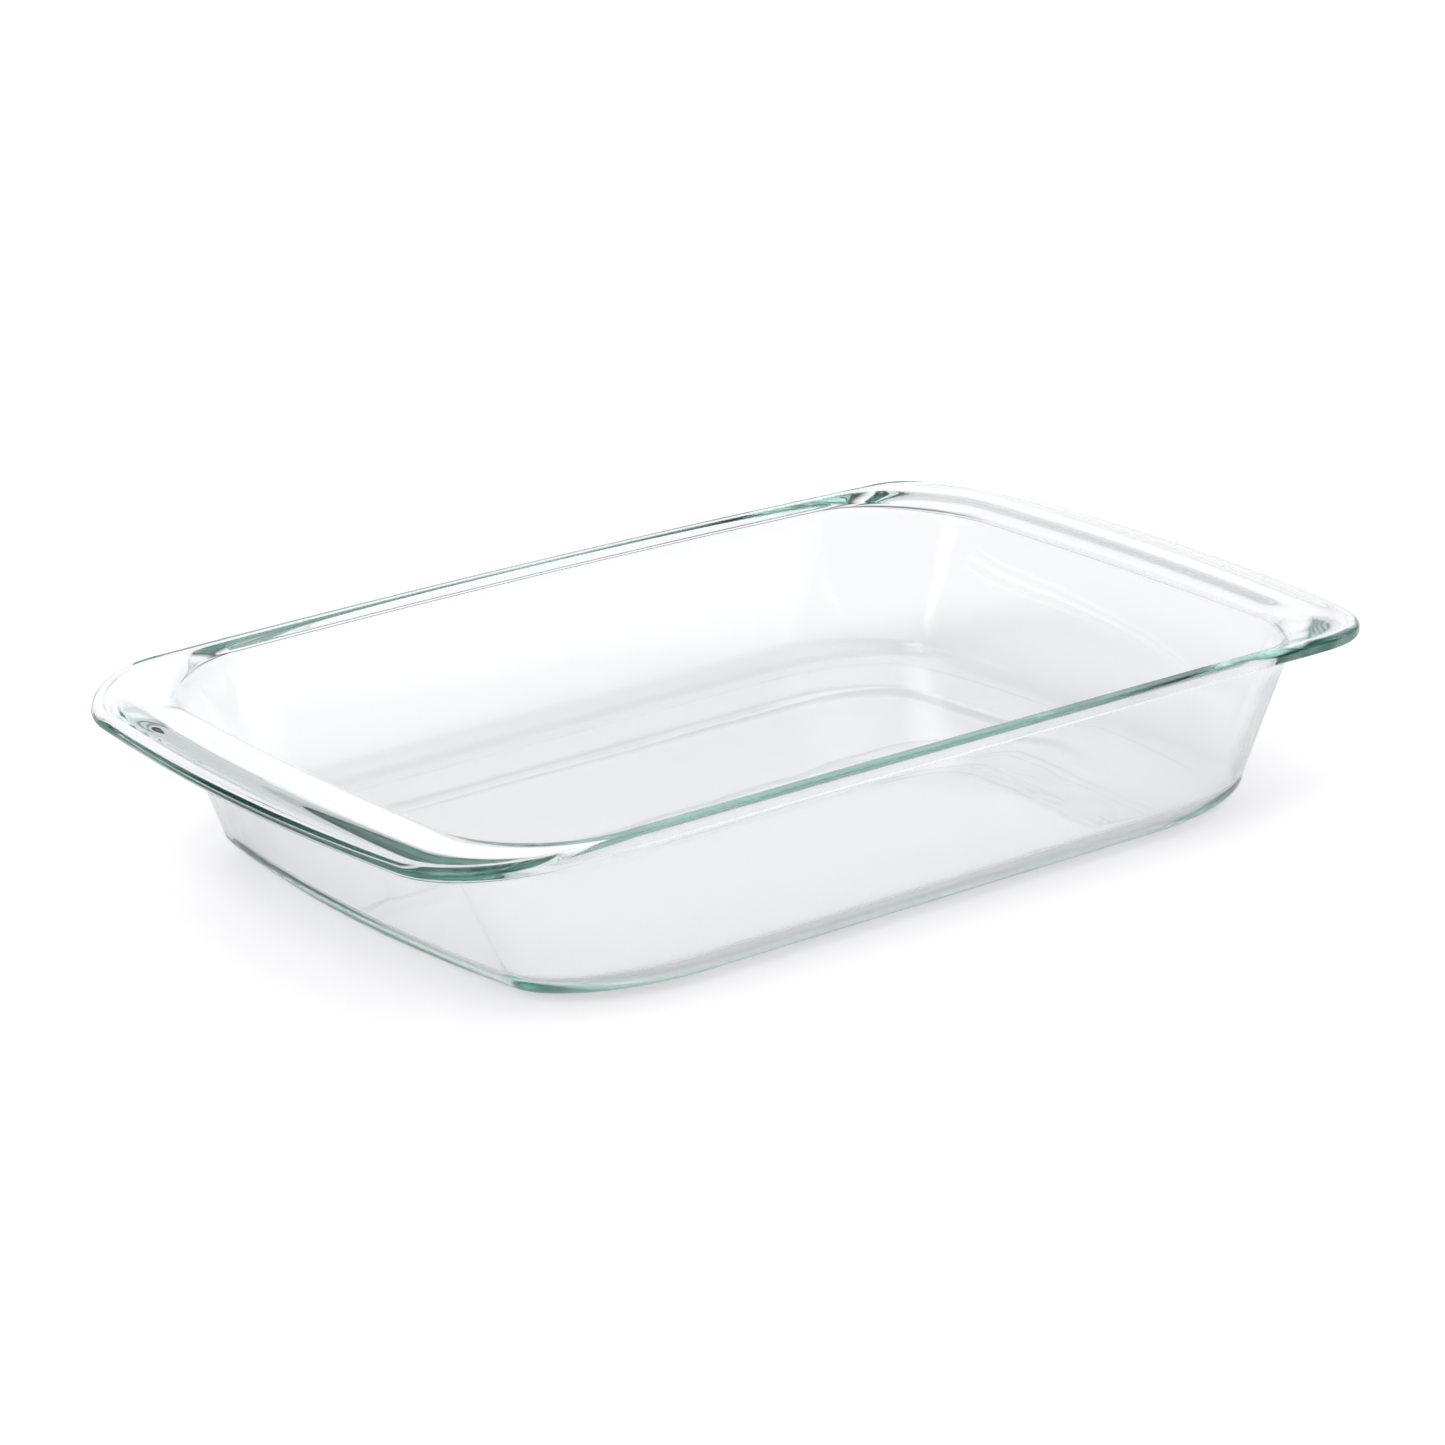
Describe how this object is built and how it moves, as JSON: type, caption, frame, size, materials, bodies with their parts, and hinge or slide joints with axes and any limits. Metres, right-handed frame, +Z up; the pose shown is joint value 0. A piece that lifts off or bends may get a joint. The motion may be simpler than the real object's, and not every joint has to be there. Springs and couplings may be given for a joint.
{
  "type": "oblong glass baking dish",
  "caption": "Shallow oblong baking dish of clear pressed glass, with rounded corners, a rolled lip along the long sides and a wing handle at each end.",
  "frame": {"origin": "centre of the underside, on the plane that the foot rests on", "axes": "+X along the length, from handle to handle; +Y across the width; +Z up, out of the opening"},
  "size_m": [0.3952, 0.2318, 0.0598],
  "materials": {
    "clear_glass": "clear pressed soda-lime glass, fire-polished, faintly green where it is looked at edge on"
  },
  "bodies": {
    "root": {"glass_dish": "clear_glass"}
  },
  "joints": []
}
